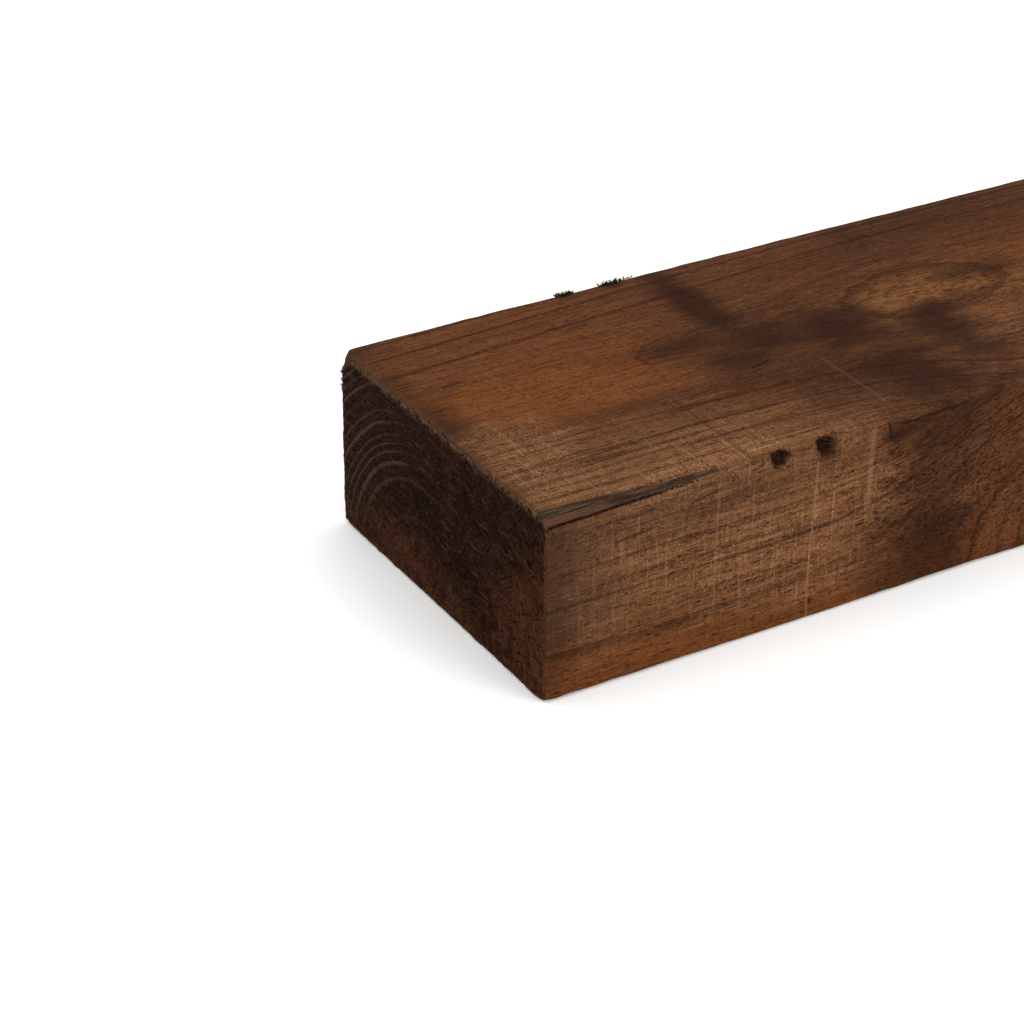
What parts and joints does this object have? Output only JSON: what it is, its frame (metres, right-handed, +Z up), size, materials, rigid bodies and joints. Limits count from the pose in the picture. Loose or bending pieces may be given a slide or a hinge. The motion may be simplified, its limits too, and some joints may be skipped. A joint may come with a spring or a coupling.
{
  "type": "railway sleeper",
  "caption": "Long rectangular baulk of sawn, brown pressure-treated softwood, laid flat, for garden edging, walls, steps and raised beds.",
  "frame": {"origin": "centre of the bed, the wide face that it lies on", "axes": "+X along the baulk, so the near end is at -X; +Y across it, so the front side is at -Y; +Z up, from the bed to the top"},
  "size_m": [2.4, 0.2, 0.1],
  "materials": {
    "treated_softwood": "rough sawn and pressure treated with a brown preservative, matt"
  },
  "bodies": {
    "root": {"sleeper": "treated_softwood"}
  },
  "joints": []
}
